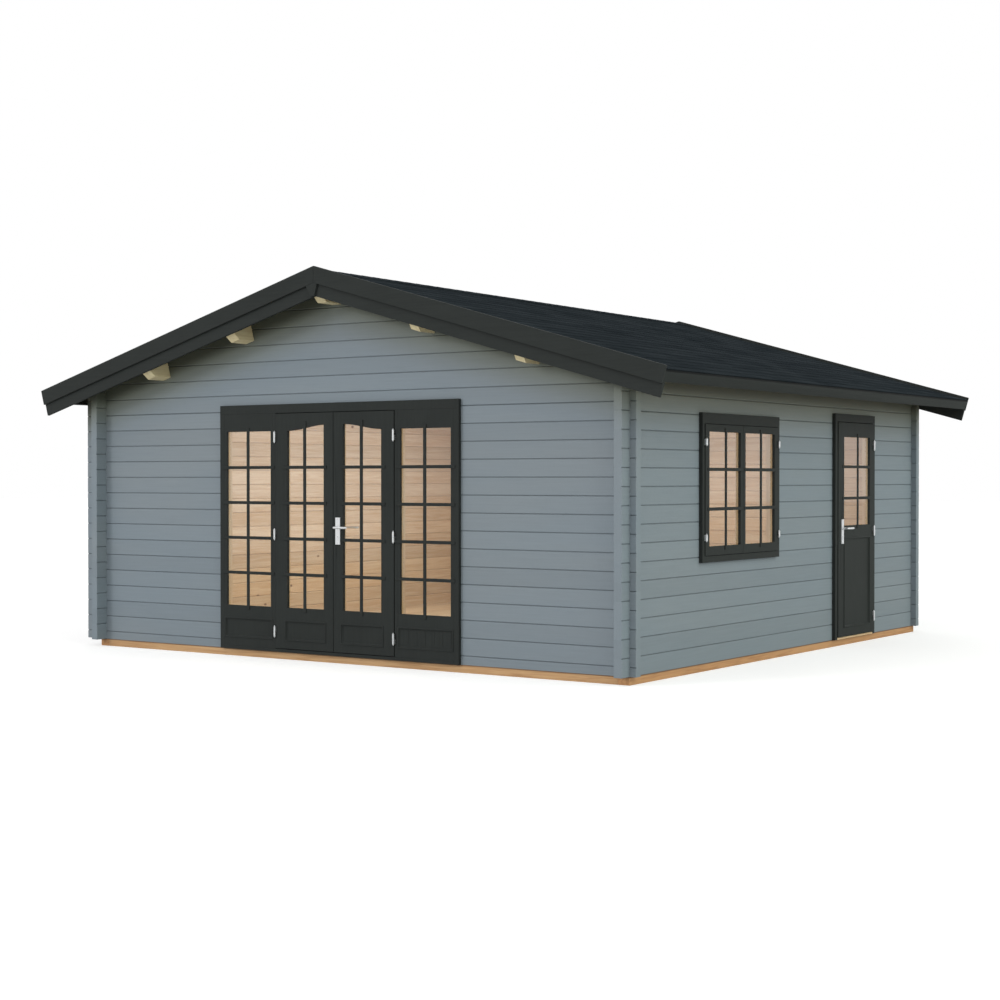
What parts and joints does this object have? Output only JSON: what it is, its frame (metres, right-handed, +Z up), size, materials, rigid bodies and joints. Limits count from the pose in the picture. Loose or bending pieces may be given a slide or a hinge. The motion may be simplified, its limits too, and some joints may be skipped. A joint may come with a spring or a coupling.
{
  "type": "log cabin",
  "caption": "Garden log cabin with interlocking log walls, low gable roof, glazed front doors with side lights, half-glazed side door and casement window.",
  "frame": {"origin": "on the ground under the middle of the roof", "axes": "+X to the right across the front, +Y to the back, +Z up; the front doors face -Y"},
  "size_m": [6.1886, 5.831, 3.0817],
  "materials": {
    "natural_timber": "bare planed softwood with knots",
    "wall_paint": "satin blue-grey paint on planed logs, bare pine inside",
    "shingle": "dark mineral-faced bitumen shingles",
    "trim_paint": "satin charcoal paint on planed timber",
    "pane": "clear glass",
    "hardware": "satin silver"
  },
  "bodies": {
    "cabin": {"sill_beams_sides": "natural_timber", "sill_beams_ends": "natural_timber", "floor_joists": "natural_timber", "floor": "natural_timber", "ridge_purlin": "natural_timber", "side_purlins": "natural_timber", "roof_deck_left": "natural_timber", "roof_deck_right": "natural_timber", "front_wall_left": "wall_paint", "front_wall_right": "wall_paint", "front_gable": "wall_paint", "back_wall": "wall_paint", "left_wall": "wall_paint", "right_wall_front": "wall_paint", "right_wall_back": "wall_paint", "right_wall_top": "wall_paint", "roof_shingles_left": "shingle", "roof_shingles_right": "shingle", "ridge_strip_cap": "shingle", "front_bargeboards": "trim_paint", "back_bargeboards": "trim_paint", "lower_bargeboards": "trim_paint", "eaves_boards": "trim_paint", "front_door_posts": "trim_paint", "front_door_head": "trim_paint", "thresholds": "trim_paint", "side_lights": "trim_paint", "window_frame": "trim_paint", "window_sashes": "trim_paint", "side_door_jambs": "trim_paint", "side_door_head": "trim_paint", "fixed_glass": "pane", "frame_hinge_halves": "hardware"},
    "front_left_door": {"front_leaf_left": "trim_paint", "front_leaf_glass_left": "pane", "left_leaf_hinge_halves": "hardware"},
    "front_right_door": {"front_leaf_right": "trim_paint", "front_leaf_glass_right": "pane", "right_leaf_hinge_halves": "hardware", "front_handle_plates": "hardware"},
    "front_handle": {"front_lever": "hardware"},
    "side_door": {"side_leaf": "trim_paint", "side_leaf_glass": "pane", "side_leaf_hinge_halves": "hardware", "side_handle_plates": "hardware"},
    "side_handle": {"side_lever": "hardware"}
  },
  "joints": [
    {"name": "front_left_hinge", "type": "hinge", "parent": "cabin", "child": "front_left_door", "pos_m": [-0.608, -2.681, 1], "axis": [0, 0, -1], "range_deg": [0, 110]},
    {"name": "front_right_hinge", "type": "hinge", "parent": "cabin", "child": "front_right_door", "pos_m": [0.594, -2.681, 1], "axis": [0, 0, 1], "range_deg": [0, 110]},
    {"name": "front_lever_turn", "type": "hinge", "parent": "front_right_door", "child": "front_handle", "pos_m": [0.045, -2.6515, 1.065], "axis": [0, 1, 0], "range_deg": [0, 40], "stiffness_Nm_per_rad": 1, "springref_deg": -28.65},
    {"name": "side_hinge", "type": "hinge", "parent": "cabin", "child": "side_door", "pos_m": [2.6955, 1.601, 1], "axis": [0, 0, 1], "range_deg": [0, 110]},
    {"name": "side_lever_turn", "type": "hinge", "parent": "side_door", "child": "side_handle", "pos_m": [2.666, 0.9165, 1.017], "axis": [-1, 0, 0], "range_deg": [0, 40], "stiffness_Nm_per_rad": 1, "springref_deg": -28.65}
  ]
}
